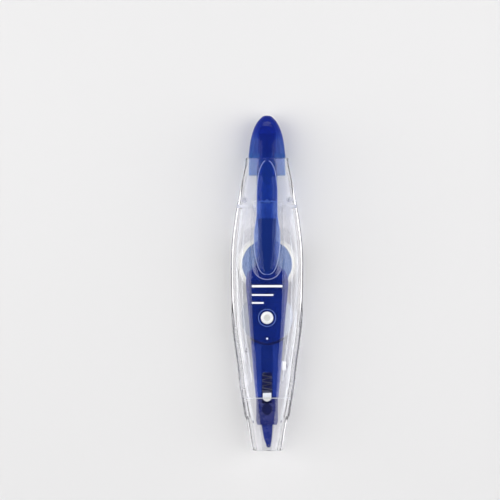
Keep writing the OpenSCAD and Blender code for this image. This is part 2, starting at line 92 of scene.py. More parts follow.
def tab(T, y, c):
    i = 0
    while i < len(T) - 2 and y >= T[i + 1][0]:
        i += 1
    h = T[i + 1][0] - T[i][0]
    t = (y - T[i][0]) / h
    return ((1 - t) ** 2 * (1 + 2 * t) * T[i][c] + t * t * (3 - 2 * t) * T[i + 1][c]
            + h * t * (1 - t) ** 2 * slope(T, i, c) - h * t * t * (1 - t) * slope(T, i + 1, c))


def ramp(a, b, y):
    t = min(1, max(0, (y - a) / (b - a)))
    return t * t * (3 - 2 * t)


def wall_at(y):
    return 1.3 + (0.9 - 1.3) * ramp(28, 37, y)


def pad_at(y):
    return 0.5 * ramp(-48.3, -47.3, y) * (1 - ramp(-15, -6, y))


def sp(v, e):
    return math.copysign(abs(v) ** (2 / e), v)


def sec(w, hf, hr, a, e):
    c, s = math.cos(a), math.sin(a)
    return w * sp(c, e), (hf if s >= 0 else hr) * sp(s, e)


def out_z(x, y):
    """Height of the front shell's outside."""
    w, h = tab(CASE, y, 1), tab(CASE, y, 2)
    return ZP + h * max(0, 1 - (abs(x) / w) ** 3) ** (1 / 3)


# ---------------------------------------------------------------- mesh helpers
def add(name, verts, faces, smooth=True, sharp=35):
    me = bpy.data.meshes.new(name)
    me.from_pydata([tuple(c * MM for c in v) for v in verts], [], faces)
    me.validate()
    me.update()
    return obj_of(name, me, smooth, sharp)


def obj_of(name, me, smooth=True, sharp=35):
    ob = bpy.data.objects.new(name, me)
    sc.collection.objects.link(ob)
    finish_mesh(ob, smooth, sharp)
    return ob


def finish_mesh(ob, smooth=True, sharp=35):
    me = ob.data
    bm = bmesh.new()
    bm.from_mesh(me)
    bmesh.ops.recalc_face_normals(bm, faces=bm.faces)
    bm.to_mesh(me)
    bm.free()
    for p in me.polygons:
        p.use_smooth = smooth
    if smooth:
        me.set_sharp_from_angle(angle=math.radians(sharp))


def boolean(ob, tool, op):
    m = ob.modifiers.new("b", "BOOLEAN")
    m.object = tool
    m.operation = op
    m.solver = "MANIFOLD"
    dg = bpy.context.evaluated_depsgraph_get()
    me = bpy.data.meshes.new_from_object(ob.evaluated_get(dg))
    ob.modifiers.clear()
    old = ob.data
    ob.data = me
    bpy.data.meshes.remove(old)
    bpy.data.objects.remove(tool)
    if len(me.vertices) == 0:
        raise RuntimeError("a boolean emptied " + ob.name)


def applied(ob):
    dg = bpy.context.evaluated_depsgraph_get()
    me = bpy.data.meshes.new_from_object(ob.evaluated_get(dg))
    ob.modifiers.clear()
    ob.data = me
    return ob


def bevel(ob, width, segs=3, angle=30):
    m = ob.modifiers.new("bv", "BEVEL")
    m.width = width * MM
    m.segments = segs
    m.limit_method = "ANGLE"
    m.angle_limit = math.radians(angle)
    m.harden_normals = False
    applied(ob)
    finish_mesh(ob, True, 40)
    return ob


def prism(name, loop, a0, a1, axis="z", holes=()):
    """Loop of 2-D points extruded along an axis. z: (x, y); y: (x, z)."""
    bm = bmesh.new()
    put = (lambda p, h: (p[0], p[1], h)) if axis == "z" else (lambda p, h: (p[0], h, p[1]))
    lo = [bm.verts.new(Vector(put(p, a0)) * MM) for p in loop]
    hi = [bm.verts.new(Vector(put(p, a1)) * MM) for p in loop]
    n = len(loop)
    bm.faces.new(lo)
    bm.faces.new(hi)
    for i in range(n):
        bm.faces.new([lo[i], lo[(i + 1) % n], hi[(i + 1) % n], hi[i]])
    bmesh.ops.recalc_face_normals(bm, faces=bm.faces)
    me = bpy.data.meshes.new(name)
    bm.to_mesh(me)
    bm.free()
    ob = bpy.data.objects.new(name, me)
    sc.collection.objects.link(ob)
    return ob


def circle(cx, cy, r, n=48, a0=0, a1=360):
    k = n if a1 - a0 >= 360 else n + 1
    return [(cx + r * math.cos(math.radians(a0 + (a1 - a0) * i / n)),
             cy + r * math.sin(math.radians(a0 + (a1 - a0) * i / n))) for i in range(k)]


def rod(name, x, y, z0, z1, r, n=48):
    return prism(name, circle(x, y, r, n), z0, z1)


def block(name, x0, x1, y0, y1, z0, z1):
    return prism(name, [(x0, y0), (x1, y0), (x1, y1), (x0, y1)], z0, z1)


def lathe(name, prof, cx, cy, n=96):
    """Closed profile of (radius, z) turned about a Z axis at (cx, cy). Radius 0 points are poles."""
    verts, rows = [], []
    for r, z in prof:
        if r < 1e-6:
            rows.append([len(verts)] * n)
            verts.append((cx, cy, z))
        else:
            rows.append(list(range(len(verts), len(verts) + n)))
            verts += [(cx + r * math.cos(2 * math.pi * j / n), cy + r * math.sin(2 * math.pi * j / n), z) for j in range(n)]
    faces = []
    m = len(prof)
    for i in range(m):
        a, b = rows[i], rows[(i + 1) % m]
        if a[0] == a[1] and b[0] == b[1]:
            continue
        for j in range(n):
            f = [a[j], a[(j + 1) % n], b[(j + 1) % n], b[j]]
            g = [f[k] for k in range(4) if f[k] != f[k - 1]]
            if len(g) >= 3:
                faces.append(g)
    return add(name, verts, faces)


# ---------------------------------------------------------------- materials
def nodes_of(name):
    m = bpy.data.materials.new(name)
    m.use_nodes = True
    nt = m.node_tree
    nt.nodes.clear()
    out = nt.nodes.new("ShaderNodeOutputMaterial")
    return m, nt, out


def coords(nt, scale=1.0):
    tc = nt.nodes.new("ShaderNodeTexCoord")
    mp = nt.nodes.new("ShaderNodeMapping")
    mp.inputs["Scale"].default_value = (scale, scale, scale) if isinstance(scale, (int, float)) else scale
    nt.links.new(tc.outputs["Object"], mp.inputs["Vector"])
    return mp.outputs["Vector"]


def noise(nt, vec, scale, detail=3, rough=0.5):
    n = nt.nodes.new("ShaderNodeTexNoise")
    n.inputs["Scale"].default_value = scale
    n.inputs["Detail"].default_value = detail
    n.inputs["Roughness"].default_value = rough
    nt.links.new(vec, n.inputs["Vector"])
    return n.outputs["Fac"]


def remap(nt, v, a, b, c, d):
    m = nt.nodes.new("ShaderNodeMapRange")
    for k, x in zip(("From Min", "From Max", "To Min", "To Max"), (a, b, c, d)):
        m.inputs[k].default_value = x
    nt.links.new(v, m.inputs["Value"])
    return m.outputs["Result"]


def bumpy(nt, h, strength, dist):
    b = nt.nodes.new("ShaderNodeBump")
    b.inputs["Strength"].default_value = strength
    b.inputs["Distance"].default_value = dist
    nt.links.new(h, b.inputs["Height"])
    return b.outputs["Normal"]


def mixcol(nt, fac, a, b):
    m = nt.nodes.new("ShaderNodeMix")
    m.data_type = "RGBA"
    if isinstance(fac, float):
        m.inputs[0].default_value = fac
    else:
        nt.links.new(fac, m.inputs[0])
    for k, v in ((6, a), (7, b)):
        if isinstance(v, tuple):
            m.inputs[k].default_value = (*v, 1)
        else:
            nt.links.new(v, m.inputs[k])
    return m.outputs[2]


def math_node(nt, op, a, b=None):
    m = nt.nodes.new("ShaderNodeMath")
    m.operation = op
    for i, v in enumerate((a, b)):
        if v is None:
            continue
        if isinstance(v, (int, float)):
            m.inputs[i].default_value = v
        else:
            nt.links.new(v, m.inputs[i])
    return m.outputs[0]


def glass(name, tint, ior=1.49, rough=(0.0, 0.02), wave=0.02, shadow=None):
    """Clear moulded plastic that bends light, and lets lamps through."""
    m, nt, out = nodes_of(name)
    v = coords(nt)
    g = nt.nodes.new("ShaderNodeBsdfGlass")
    g.inputs["IOR"].default_value = ior
    big = noise(nt, v, 60, 2)
    fine = noise(nt, v, 900, 4, 0.6)
    nt.links.new(remap(nt, fine, 0.35, 0.7, rough[0], rough[1]), g.inputs["Roughness"])
    nt.links.new(mixcol(nt, big, tuple(c * 0.985 for c in tint), tint), g.inputs["Color"])
    nt.links.new(bumpy(nt, big, wave, 0.002), g.inputs["Normal"])
    t = nt.nodes.new("ShaderNodeBsdfTransparent")
    s = shadow or tuple(0.5 + 0.5 * c for c in tint)
    t.inputs["Color"].default_value = (*s, 1)
    lp = nt.nodes.new("ShaderNodeLightPath")
    mx = nt.nodes.new("ShaderNodeMixShader")
    nt.links.new(lp.outputs["Is Shadow Ray"], mx.inputs[0])
    nt.links.new(g.outputs[0], mx.inputs[1])
    nt.links.new(t.outputs[0], mx.inputs[2])
    nt.links.new(mx.outputs[0], out.inputs[0])
    return m


def sheer(name, see, body, share, rough=0.12, edge=0.0, bump=0.05, fine_scale=700, painted_flank=None, painted_zones=None):
    """Coloured see-through plastic: 'see' tints what is behind it, 'body' is its own colour, share is how much of it shows."""
    m, nt, out = nodes_of(name)
    v = coords(nt)
    p = nt.nodes.new("ShaderNodeBsdfPrincipled")
    big = noise(nt, v, 90, 2)
    fine = noise(nt, v, fine_scale, 4, 0.6)
    base = mixcol(nt, big, tuple(c * 0.86 for c in body), tuple(min(1, c * 1.1) for c in body))
    side = None
    if painted_flank:
        # painted light: paler towards its long edges, standing in for the light that comes through the thinner plastic
        # there; only along the lower part of the piece
        x0, x1, y0, y1, see_out, body_out = painted_flank
        fx = nt.nodes.new("ShaderNodeSeparateXYZ")
        nt.links.new(v, fx.inputs[0])
        side = math_node(nt, "MULTIPLY", remap(nt, math_node(nt, "ABSOLUTE", fx.outputs["X"]), x0 * MM, x1 * MM, 0, 1),
                         remap(nt, fx.outputs["Y"], y0 * MM, y1 * MM, 0, 1))
        base = mixcol(nt, side, base, body_out)
    nt.links.new(base, p.inputs["Base Color"])
    nt.links.new(remap(nt, fine, 0.3, 0.7, rough * 0.7, rough * 1.5), p.inputs["Roughness"])
    nt.links.new(bumpy(nt, fine, bump, 0.0002), p.inputs["Normal"])
    p.inputs["IOR"].default_value = 1.5
    t = nt.nodes.new("ShaderNodeBsdfTransparent")
    t.inputs["Color"].default_value = (*see, 1)
    if painted_flank:
        nt.links.new(mixcol(nt, side, see, see_out), t.inputs["Color"])
    if painted_zones:
        # painted light and shade: how much passes is set in zones along the piece, in place of the light that its
        # changing wall thickness and the ribs inside let through
        lo, hi, stops = painted_zones
        xyz = nt.nodes.new("ShaderNodeSeparateXYZ")
        nt.links.new(v, xyz.inputs[0])
        cr = nt.nodes.new("ShaderNodeValToRGB")
        els = cr.color_ramp.elements
        while len(els) < len(stops):
            els.new(0.5)
        for el, (y, c) in zip(els, stops):
            el.position = (y - lo) / (hi - lo)
            el.color = (*c, 1)
        nt.links.new(remap(nt, xyz.outputs["Y"], lo * MM, hi * MM, 0, 1), cr.inputs[0])
        nt.links.new(cr.outputs["Color"], t.inputs["Color"])
    mx = nt.nodes.new("ShaderNodeMixShader")
    if edge:
        lw = nt.nodes.new("ShaderNodeLayerWeight")
        lw.inputs["Blend"].default_value = 0.35
        f = math_node(nt, "MULTIPLY", lw.outputs["Facing"], edge)
        f = math_node(nt, "ADD", f, share)
        f = math_node(nt, "MINIMUM", f, 1.0)
        nt.links.new(f, mx.inputs[0])
    else:
        mx.inputs[0].default_value = share
    nt.links.new(t.outputs[0], mx.inputs[1])
    nt.links.new(p.outputs[0], mx.inputs[2])
    nt.links.new(mx.outputs[0], out.inputs[0])
    return m


def solid(name, col, rough=0.35, bump=0.1, scale=500, metal=0.0, var=0.12, coat=0.0, spec=0.5):
    m, nt, out = nodes_of(name)
    v = coords(nt)
    p = nt.nodes.new("ShaderNodeBsdfPrincipled")
    big = noise(nt, v, 120, 3)
    fine = noise(nt, v, scale, 5, 0.6)
    nt.links.new(mixcol(nt, big, tuple(c * (1 - var) for c in col), tuple(min(1, c * (1 + var * 0.6)) for c in col)), p.inputs["Base Color"])
    nt.links.new(remap(nt, fine, 0.3, 0.7, rough * 0.75, min(1, rough * 1.3)), p.inputs["Roughness"])
    nt.links.new(bumpy(nt, fine, bump, 0.0003), p.inputs["Normal"])
    p.inputs["Metallic"].default_value = metal
    p.inputs["Specular IOR Level"].default_value = spec
    p.inputs["Coat Weight"].default_value = coat
    nt.links.new(p.outputs[0], out.inputs[0])
    return m


def layers(name, col, dark, cx, cy, pitch, rough=0.5):
    """Side of a wound roll: fine rings about the axle."""
    m, nt, out = nodes_of(name)
    tc = nt.nodes.new("ShaderNodeTexCoord")
    s = nt.nodes.new("ShaderNodeSeparateXYZ")
    nt.links.new(tc.outputs["Object"], s.inputs[0])
    dx = math_node(nt, "SUBTRACT", s.outputs["X"], cx)
    dy = math_node(nt, "SUBTRACT", s.outputs["Y"], cy)
    r = math_node(nt, "SQRT", math_node(nt, "ADD", math_node(nt, "MULTIPLY", dx, dx), math_node(nt, "MULTIPLY", dy, dy)))
    v = coords(nt)
    wob = noise(nt, v, 300, 3)
    ph = math_node(nt, "ADD", math_node(nt, "MULTIPLY", r, 2 * math.pi / pitch), math_node(nt, "MULTIPLY", wob, 3.0))
    w = math_node(nt, "SINE", ph)
    band = noise(nt, v, 40, 2)
    f = remap(nt, w, -1, 1, 0, 1)
    p = nt.nodes.new("ShaderNodeBsdfPrincipled")
    c = mixcol(nt, f, dark, col)
    c = mixcol(nt, remap(nt, band, 0.3, 0.7, 0, 0.35), c, tuple(x * 0.93 for x in col))
    nt.links.new(c, p.inputs["Base Color"])
    p.inputs["Roughness"].default_value = rough
    fine = noise(nt, v, 1500, 4)
    h = math_node(nt, "ADD", f, math_node(nt, "MULTIPLY", fine, 0.5))
    nt.links.new(bumpy(nt, h, 0.35, 0.00006), p.inputs["Normal"])
    nt.links.new(p.outputs[0], out.inputs[0])
    return m


M = {}
M["shell"] = glass("clear_case", (0.967, 0.967, 0.975), 1.45, (0.0, 0.02), 0.015)
M["inner"] = sheer("clear_inner_plastic", (0.968, 0.97, 0.978), (0.82, 0.83, 0.88), 0.05, 0.10, edge=0.30)
M["film"] = sheer("clear_film", (0.93, 0.94, 0.955), (0.8, 0.82, 0.86), 0.12, 0.2, edge=0.35)
# painted light and shade along the cap: paler at the skirt and rim band, darker towards the top
M["cap"] = sheer("cap_blue", (0.30, 0.45, 0.82), (0.027, 0.060, 0.41), 0.22, 0.07, edge=0.24, painted_zones=(38, 60, [
    (38.0, (0.20, 0.63, 0.84)), (43.3, (0.20, 0.63, 0.84)), (43.5, (0.20, 0.50, 0.80)), (45.6, (0.20, 0.50, 0.80)),
    (45.9, (0.26, 0.47, 0.81)), (51.0, (0.25, 0.40, 0.79)), (54.5, (0.12, 0.19, 0.64)), (59.0, (0.07, 0.12, 0.52))]))
M["stem"] = sheer("cap_stem_blue", (0.62, 0.74, 0.97), (0.022, 0.055, 0.40), 0.16, 0.32, edge=0.1)
# pale edge material: painted highlight for the case's panel walls and rib sides
M["frost"] = sheer("frosted_edge", (0.95, 0.96, 0.985), (0.88, 0.90, 0.97), 0.42, 0.3)
M["pad"] = sheer("pad_frost", (0.94, 0.945, 0.955), (0.86, 0.86, 0.85), 0.34, 0.3)
M["clip_glint"] = sheer("clip_edge_painted_highlight", (0.80, 0.85, 0.97), (0.72, 0.78, 0.95), 0.50, 0.12)
M["boss_glint"] = sheer("boss_rim_painted_highlight", (0.55, 0.65, 0.92), (0.25, 0.38, 0.80), 0.5, 0.15)
M["capin"] = sheer("cap_inside", (0.90, 0.93, 0.99), (0.05, 0.10, 0.45), 0.04, 0.12, edge=0.1)
M["tube"] = sheer("tube_blue", (0.20, 0.46, 0.80), (0.005, 0.062, 0.32), 0.35, 0.12, edge=0.2)
# painted light and shade along the cover: paler below Y -21.9 and above Y 2.2, darker between
M["spine"] = sheer("spine_blue", (0.10, 0.20, 0.60), (0.008, 0.036, 0.27), 0.30, 0.10, edge=0.3, painted_zones=(-60, 20, [
    (-60.0, (0.30, 0.40, 0.80)), (-21.9, (0.30, 0.40, 0.80)), (-21.5, (0.06, 0.15, 0.58)), (0.6, (0.06, 0.15, 0.58)),
    (2.2, (0.36, 0.52, 0.90)), (20.0, (0.36, 0.52, 0.90))]))
# painted light on the clip: paler flanks along its lower part
M["clip"] = sheer("clip_blue", (0.42, 0.56, 0.90), (0.030, 0.085, 0.42), 0.24, 0.05, edge=0.30,
                  painted_flank=(2.3, 4.2, 24, 18, (0.66, 0.76, 0.97), (0.34, 0.42, 0.74)))
M["frame"] = glass("frame_clear", (0.972, 0.973, 0.98), 1.45, (0.0, 0.02), 0.03)
M["frame_side_shade"] = sheer("frame_side_shade", (0.78, 0.78, 0.87), (0.62, 0.62, 0.74), 0.30, 0.15)
M["light"] = sheer("light_blue", (0.42, 0.58, 0.82), (0.23, 0.38, 0.68), 0.30, 0.15, edge=0.3)
M["dark"] = solid("dark_blue", (0.003, 0.006, 0.060), 0.35, 0.05, spec=0.15)
M["head"] = solid("head_blue", (0.007, 0.018, 0.16), 0.26, 0.05)
M["cheek"] = solid("cheek_blue", (0.008, 0.014, 0.12), 0.28, 0.05)
M["natural"] = sheer("natural_plastic", (0.86, 0.89, 0.93), (0.74, 0.78, 0.84), 0.45, 0.25, edge=0.2)
M["post"] = sheer("post_painted_highlight", (0.9, 0.92, 0.95), (0.82, 0.85, 0.90), 0.75, 0.15)
M["white"] = solid("white_plastic", (0.78, 0.79, 0.78), 0.25, 0.06, var=0.03)
M["tape"] = solid("tape_white", (0.70, 0.70, 0.68), 0.55, 0.15, scale=1200, var=0.04)
M["cream"] = solid("cream_rim", (0.70, 0.69, 0.63), 0.5, 0.12, scale=1200, var=0.05)
M["print_and_glint"] = solid("white_print_and_glint", (0.90, 0.91, 0.93), 0.4, 0.1, scale=1500, var=0.03)
M["steel"] = solid("spring_steel", (0.15, 0.155, 0.22), 0.34, 0.12, scale=900, metal=1.0, var=0.1)
M["rubber"] = solid("rubber", (0.03, 0.03, 0.035), 0.6, 0.3)

M["bed"] = solid("bed_blue", (0.006, 0.011, 0.095), 0.35, 0.08)
M["seat"] = solid("hub_seat", (0.60, 0.61, 0.58), 0.4, 0.3, scale=260, var=0.2)
M["core"] = solid("clip_core_blue", (0.004, 0.005, 0.085), 0.4, 0.05, spec=0.12)


def put(ob, mat, body, slotname, *nodes):
    ob.data.materials.clear()
    ob.data.materials.append(M[mat])
    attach(ob, body)
    if nodes:
        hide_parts(*nodes)
    return ob


def paint(node, mat):
    me = N[node].data
    me.materials.clear()
    me.materials.append(M[mat])
    for p in me.polygons:
        p.material_index = 0


# ---------------------------------------------------------------- clear case
def case_rings():
    ys = list(np.arange(-HALF, -38, 0.55)) + list(np.arange(-38, -16, 0.19)) + list(np.arange(-16, 44.3, 0.7)) + [44.3]
    for d in (0.02, 0.06, 0.12, 0.2, 0.3, 0.4):
        ys += [-HALF + d, 44.3 - d]
    return sorted(set(round(float(y), 4) for y in ys))


def rim(y):
    d = min(y + HALF, 44.3 - y)
    r = 0.4
    return 0 if d >= r else r - math.sqrt(max(0, r * r - (r - d) ** 2))


def soft_floor(z, f, k=0.35):
    d = z - f
    return f + 0.5 * (d + math.sqrt(d * d + k * k)) if d < 3 else z


def half_case(name, front, gap=0.02):
    m = 56
    ys = case_rings()
    verts = []
    for y in ys:
        w, hf, hr = (tab(CASE, y, c) for c in (1, 2, 3))
        t = wall_at(y)
        q = rim(y) * 0.9
        pad = pad_at(y)
        ribs = ramp(-38, -37.2, y) * (1 - ramp(-17, -16.2, y)) * 0.17 * max(0, math.cos(2 * math.pi * (y + 37) / 1.5)) ** 0.7
        for j in range(m + 1):
            a = math.pi * j / m + (0 if front else math.pi)
            x, z = sec(w - q, hf - q, hr - q, a, 3)
            k = 1 - ramp(2.7, 3.5, abs(z))
            x += math.copysign((pad * k + ribs * (1 - ramp(2.0, 2.5, abs(z)))) if pad > 0 else 0, x) if abs(x) > 0.3 else 0
            # small chamfer where the halves meet
            if abs(z) < 0.12:
                x -= math.copysign(0.1 * (1 - abs(z) / 0.12), x)
            z = z + ZP
            z = max(z, ZP + gap) if front else min(soft_floor(z, 0.0, 0.25), ZP - gap)
            verts.append((x, y, z))
        for j in range(m, -1, -1):
            a = math.pi * j / m + (0 if front else math.pi)
            x, z = sec(w - t + q * 0.8, hf - t + q * 0.8, hr - t + q * 0.8, a, 3.5)
            z = z + ZP
            z = max(z, ZP + gap) if front else min(soft_floor(z, 1.2, 0.25) if q == 0 else z, ZP - gap)
            verts.append((x, y, z))
    k = 2 * (m + 1)
    n = len(ys)
    faces = []
    for i in range(n - 1):
        for j in range(k):
            faces.append((i * k + j, i * k + (j + 1) % k, (i + 1) * k + (j + 1) % k, (i + 1) * k + j))
    for j in range(m):
        faces.append((j, j + 1, k - 2 - j, k - 1 - j))
        o = (n - 1) * k
        faces.append((o + j + 1, o + j, o + k - 1 - j, o + k - 2 - j))
    return add(name, verts, faces)


def half_bulkhead(front):
    y, d = 26.4, 0.5
    w, hf, hr = tab(CASE, y, 1) - 1.3 + d, tab(CASE, y, 2) - 1.3 + d, tab(CASE, y, 3) - 1.3 + d
    a0 = 0 if front else math.pi
    gap = 0.02
    loop = []
    for j in range(41):
        x, z = sec(w, hf, hr, a0 + math.pi * j / 40, 3.3)
        z += ZP
        loop.append((x, max(z, ZP + gap) if front else min(max(z, 0.8), ZP - gap)))
    arc = circle(0, ZP, 4.9, 32, 0, 180) if front else circle(0, ZP, 4.9, 32, 180, 360)
    arc = [(x, max(z, ZP + gap) if front else min(z, ZP - gap)) for x, z in arc]
    return prism("bk", loop + arc[::-1], y, y + 1.2, "y")


front = half_case("front_shell_clear", True)
boolean(front, half_bulkhead(True), "UNION")
post = [(-1.5, -38.9), (-1.5, -40.45)] + circle(0, -40.45, 1.5, 24, 180, 360)[1:-1] + [(1.5, -40.45), (1.5, -38.9)]
def inner_z(x, y):
    w, h = tab(CASE, y, 1) - wall_at(y), tab(CASE, y, 2) - wall_at(y)
    return ZP + h * max(0, 1 - (abs(x) / w) ** 3.5) ** (1 / 3.5)


def long_rib(s, inset, y0, y1, wide, deep):
    verts, faces = [], []
    ys = np.linspace(y0, y1, 90)
    for y in ys:
        xc = tab(CASE, y, 1) - wall_at(y) - inset
        e = ramp(y0, y0 + 2, y) * (1 - ramp(y1 - 2, y1, y))
        z = inner_z(xc, y)
        for dx, dz in ((-wide / 2, 0.32), (-wide / 2, -deep * e - 0.02), (wide / 2, -deep * e - 0.02), (wide / 2, 0.32)):
            verts.append((s * (xc + dx), y, z + dz))
    n = len(ys)
    for i in range(n - 1):
        for j in range(4):
            faces.append((i * 4 + j, i * 4 + (j + 1) % 4, (i + 1) * 4 + (j + 1) % 4, (i + 1) * 4 + j))
    faces += [(0, 1, 2, 3), tuple((n - 1) * 4 + j for j in range(4))]
    return add("t", verts, faces)


for s in (-1, 1):
    boolean(front, long_rib(s, 1.2, -49.5, 25.5, 0.4, 0.27), "UNION")
    boolean(front, long_rib(s, 2.9, -35.5, 18, 0.35, 0.4), "UNION")


def cross_rib(y, half, wide, deep):
    verts, faces = [], []
    xs = np.linspace(-half, half, 61)
    for x in xs:
        z = inner_z(x, y)
        b = z - deep if abs(x) > 5.0 else max(z - deep, 11.88)
        verts += [(x, y - wide / 2, z + 0.3), (x, y - wide / 2, b), (x, y + wide / 2, b), (x, y + wide / 2, z + 0.3)]
    n = len(xs)
    for i in range(n - 1):
        for j in range(4):
            faces.append((i * 4 + j, i * 4 + (j + 1) % 4, (i + 1) * 4 + (j + 1) % 4, (i + 1) * 4 + j))
    faces += [(0, 1, 2, 3), tuple((n - 1) * 4 + j for j in range(4))]
    return add("t", verts, faces)


boolean(front, cross_rib(-40.75, 7.1, 0.3, 0.24), "UNION")
for s in (-1, 1):
    boolean(front, rod("t", s * 7.9, 29.3, ZP + 0.02, 11.55, 0.95), "UNION")
    boolean(front, rod("t", s * 7.9, 29.3, ZP - 2, ZP + 1, 0.6), "UNION")
    ear = prism("t", [(36.9, 12.4), (39.9, 12.4), (39.9, 14.0)] + [(38.4 + 1.5 * math.cos(a), 13.6 + 0.95 * math.sin(a)) for a in np.linspace(0.4, math.pi - 0.4, 12)] + [(36.9, 14.0)], s * 2.45 - 0.45, s * 2.45 + 0.45, "y")
    for v in ear.data.vertices:  # profile was laid out in (y, z) along x
        x, y, z = v.co
        v.co = (y, x, z)
    hole = prism("t", circle(38.4, 13.9, 0.65, 24), -4, 4, "y")
    for v in hole.data.vertices:
        x, y, z = v.co
        v.co = (y, x, z)
    for o in (ear, hole):
        bm = bmesh.new(); bm.from_mesh(o.data); bmesh.ops.recalc_face_normals(bm, faces=bm.faces); bm.to_mesh(o.data); bm.free()
    boolean(ear, hole, "DIFFERENCE")
    boolean(front, ear, "UNION")
# painted highlight: the clear spring post gets a milky white material, standing in for the light it catches
post_top = prism("spring_post", post, 6.25, 12.25)
boolean(post_top, block("t", -2, 2, -43, -40.35, 11.85, 13), "DIFFERENCE")
bevel(post_top, 0.12, 2, 40)
put(post_top, "post", "housing", "clear_shell")
# painted shade: a grey sheet on the cut-down lower half of the post
shade = prism("post_lower_shade", [(-1.3, -40.4), (-1.3, -40.45)] + circle(0, -40.45, 1.3, 24, 180, 360)[1:-1] + [(1.3, -40.45), (1.3, -40.4)], 11.8, 11.92)
finish_mesh(shade, False)
put(shade, "seat", "housing", "clear_shell")
# panel under the clip, sunk in the front
U = [(-5.4, 27), (5.4, 27), (5.45, 18), (5.35, 9.5)] + [(4.95 * math.cos(a), 6.4 + 4.9 * math.sin(a)) for a in np.linspace(0, -math.pi, 40)] + [(-5.35, 9.5), (-5.45, 18)]
def grow(loop, d):
    out = []
    n = len(loop)
    for i in range(n):
        a, b, c = Vector(loop[i - 1]), Vector(loop[i]), Vector(loop[(i + 1) % n])
        t = (c - a).normalized()
        nn = Vector((t.y, -t.x))
        out.append((b.x + nn.x * d, b.y + nn.y * d))
    return out


def tub(name, loop, levels):
    """Cutter whose outline widens as it rises: levels of (height, growth)."""
    base = loop[::-1]
    sign = -1 if Vector((grow(base, 0.1)[5][0], grow(base, 0.1)[5][1])).length < Vector(base[5]).length else 1
    verts, faces = [], []
    n = len(base)
    for z, d in levels:
        verts += [(x, y, z) for x, y in grow(base, sign * d)]
    for k in range(len(levels) - 1):
        for i in range(n):
            faces.append((k * n + i, k * n + (i + 1) % n, (k + 1) * n + (i + 1) % n, (k + 1) * n + i))
    faces.append(tuple(range(n)))
    faces.append(tuple((len(levels) - 1) * n + i for i in range(n)))
    return add(name, verts, faces)


boolean(front, tub("t", U, [(13.3, 0), (13.34, 0.12), (13.45, 0.2), (13.75, 0.42), (16, 0.7)]), "DIFFERENCE")
finish_mesh(front, True, 38)
put(front, "shell", "housing", "clear_shell", "front_shell")
front.data.materials.append(M["frost"])
front.data.materials.append(M["inner"])
front.data.materials.append(M["pad"])


def near_u(x, y):
    if y > 27.5 or abs(x) > 6.3 or y < 0.6:
        return False
    if y > 6.4:
        return 4.85 < abs(x)
    return 4.8 < math.hypot(x, y - 6.4) < 5.7




def bore_face(c):
    return 26.38 < c.y < 27.62 and math.hypot(c.x, c.z - ZP) < 5.6


def pad_face(c):
    return -38.2 < c.y < -16 and abs(c.z - ZP) < 2.5 and abs(c.x) > tab(CASE, c.y, 1) - 0.25


# painted highlight: the walls of the sunk panel, the sides of the long ribs and the cross rib get a pale
# frosted-looking material, standing in for the light caught along those edges
for f in front.data.polygons:
    c = f.center / MM
    if bore_face(c):
        f.material_index = 2
    if pad_face(c):
        f.material_index = 3
    if abs(c.y + 40.75) < 0.24 and abs(c.x) < 7.2 and c.z < inner_z(c.x, -40.75) - 0.04 and c.z > inner_z(c.x, -40.75) - 0.5:
        f.material_index = 1
    if 13.31 < c.z < 13.85 and near_u(c.x, c.y) and abs(f.normal.z) < 0.93:
        f.material_index = 1
    if c.y > 26 or c.y < -50:
        continue
    wi = tab(CASE, c.y, 1) - wall_at(c.y)
    for inset in (1.2, 2.9):
        if abs(abs(c.x) - (wi - inset)) < 0.26 and inner_z(c.x, c.y) - 0.62 < c.z < inner_z(wi - inset, c.y) - 0.12:
            f.material_index = 1

rear = half_case("rear_shell_clear", False)
boolean(rear, half_bulkhead(False), "UNION")
for s in (-1, 1):
    boolean(rear, rod("t", s * 7.9, 29.3, 1.95, ZP - 0.02, 1.25), "UNION")
    boolean(rear, rod("t", s * 7.9, 29.3, ZP - 2.3, ZP + 1, 0.65), "DIFFERENCE")
    boolean(rear, block("t", s * 4.6 - 0.3, s * 4.6 + 0.3, -33, 20, 0.8, 1.45), "UNION")
finish_mesh(rear, True, 38)
put(rear, "shell", "housing", "clear_shell", "rear_shell")
rear.data.materials.append(M["inner"])
rear.data.materials.append(M["pad"])
for f in rear.data.polygons:
    if bore_face(f.center / MM):
        f.material_index = 1
    if pad_face(f.center / MM):
        f.material_index = 2


# ---------------------------------------------------------------- knock cap
def cap_mesh():
    m = 96
    ys = [38.1, 38.14, 38.22, 38.4] + list(np.arange(38.8, 57, 0.4)) + [57.2, 57.6, 58, 58.3, 58.6, 58.85, 59.0, 59.12, 59.22, 59.3, 59.36]
    verts = []

    def ring(w, hf, hr, y):
        for j in range(m):
            x, z = sec(w, hf, hr, 2 * math.pi * j / m, 2.6)
            verts.append((x, y, ZP + z))
    for y in ys:
        d = y - 38.1
        q = 0.2 - math.sqrt(max(0, 0.04 - (0.2 - d) ** 2)) if d < 0.2 else 0
        # shallow step where the dome meets the skirt
        g = 0.09 * (1 - ramp(45.7, 45.85, y)) * ramp(43.2, 43.4, y)
        ring(*(tab(CAP, y, c) - q + g * 0.4 for c in (1, 2, 3)), y)
    n_out = len(ys)
    inner = [y for y in ys if y < 57.3][::-1]
    for y in inner:
        t = 1.0 if y < 45.9 else 1.45
        ring(*(max(0.15, tab(CAP, min(y + (1.2 if y > 39.4 else 0), 59.3), c) - t) for c in (1, 2, 3)), y)
    faces = []
    total = n_out + len(inner)
    for i in range(total - 1):
        if i == n_out - 1:
            continue
        for j in range(m):
            faces.append((i * m + j, i * m + (j + 1) % m, (i + 1) * m + (j + 1) % m, (i + 1) * m + j))
    faces.append(tuple((n_out - 1) * m + j for j in range(m)))
    faces.append(tuple(n_out * m + j for j in range(m)))
    o = (total - 1) * m
    for j in range(m):
        faces.append((j, (j + 1) % m, o + (j + 1) % m, o + j))
    ob = add("cap_dome", verts, faces, True, 50)
    return ob, n_out * m


